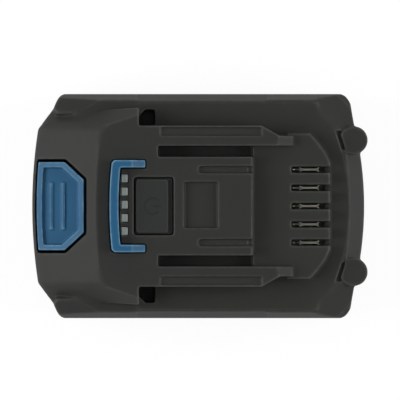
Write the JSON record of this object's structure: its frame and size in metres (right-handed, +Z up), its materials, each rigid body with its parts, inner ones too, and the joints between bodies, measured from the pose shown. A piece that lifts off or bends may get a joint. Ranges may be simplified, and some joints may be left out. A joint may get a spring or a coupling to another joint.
{
  "type": "power tool battery pack",
  "caption": "Slide-on battery pack for a cordless power tool, with side rails, slotted terminals, a charge gauge and a sprung latch worked by a release button.",
  "frame": {"origin": "bottom centre of the pack's box, on the surface it stands on", "axes": "+X towards the contact end that slides into the tool, +Y to the left of that, +Z up out of the top"},
  "size_m": [0.1196, 0.08, 0.0676],
  "materials": {
    "case_plastic": "moulded nylon with a fine spark-eroded texture",
    "gauge_plastic": "moulded, satin",
    "blue_plastic": "moulded acetal, satin",
    "screw_steel": "zinc plated",
    "spring_steel": "drawn wire",
    "black_plastic": "moulded",
    "plunger_plastic": "moulded",
    "circuit_laminate": "solder mask over glass laminate",
    "lamp_resin": "moulded resin",
    "light_pipe_plastic": "moulded, frosted",
    "contact_alloy": "tin plated copper alloy, pressed",
    "shunt_alloy": "rolled",
    "chip_ceramic": "fired",
    "thermistor_epoxy": "dipped",
    "holder_plastic": "moulded",
    "ring_paper": "die cut",
    "cell_can": "shrink sleeve over a steel can",
    "nickel_strip": "rolled nickel",
    "barley_paper": "die cut",
    "foam": "closed-cell foam, cut"
  },
  "bodies": {
    "case": {"lower_case": "case_plastic", "upper_case": "case_plastic", "case_screws": "screw_steel", "gauge_screws": "screw_steel", "board_screws": "screw_steel", "latch_spring_left": "spring_steel", "latch_spring_right": "spring_steel", "gauge_switch": "black_plastic", "gauge_header": "black_plastic", "terminal_block": "black_plastic", "power_transistors": "black_plastic", "controller_chip": "black_plastic", "gauge_board": "circuit_laminate", "circuit_board": "circuit_laminate", "gauge_lamps": "lamp_resin", "light_pipe": "light_pipe_plastic", "contact_positive": "contact_alloy", "contact_charge": "contact_alloy", "contact_identity": "contact_alloy", "contact_thermistor": "contact_alloy", "contact_negative": "contact_alloy", "current_shunt": "shunt_alloy", "small_parts": "chip_ceramic", "thermistor": "thermistor_epoxy", "cell_holder_left": "holder_plastic", "cell_holder_right": "holder_plastic", "cell_rings": "ring_paper", "cell_1": "cell_can", "cell_2": "cell_can", "cell_3": "cell_can", "cell_4": "cell_can", "cell_5": "cell_can", "cell_6": "cell_can", "cell_7": "cell_can", "cell_8": "cell_can", "cell_9": "cell_can", "cell_10": "cell_can", "bus_negative": "nickel_strip", "bus_1": "nickel_strip", "bus_2": "nickel_strip", "bus_3": "nickel_strip", "bus_4": "nickel_strip", "bus_positive": "nickel_strip", "insulator_left": "barley_paper", "insulator_right": "barley_paper", "side_pad_left": "foam", "side_pad_right": "foam", "base_pad_left": "foam", "base_pad_right": "foam"},
    "latch": {"release_button": "blue_plastic", "latch_slider": "blue_plastic"},
    "gauge": {"gauge_button": "gauge_plastic", "gauge_switch_plunger": "plunger_plastic"}
  },
  "joints": [
    {"name": "latch_slide", "type": "slide", "parent": "case", "child": "latch", "axis": [0, 0, -1], "range_m": [0, 0.0045], "stiffness_N_per_m": 1500, "springref_m": -0.004, "deforming": ["latch_spring_left", "latch_spring_right"]},
    {"name": "gauge_press", "type": "slide", "parent": "case", "child": "gauge", "axis": [0, 0, -1], "range_m": [0, 0.0006], "stiffness_N_per_m": 2500, "springref_m": -0.0004}
  ]
}
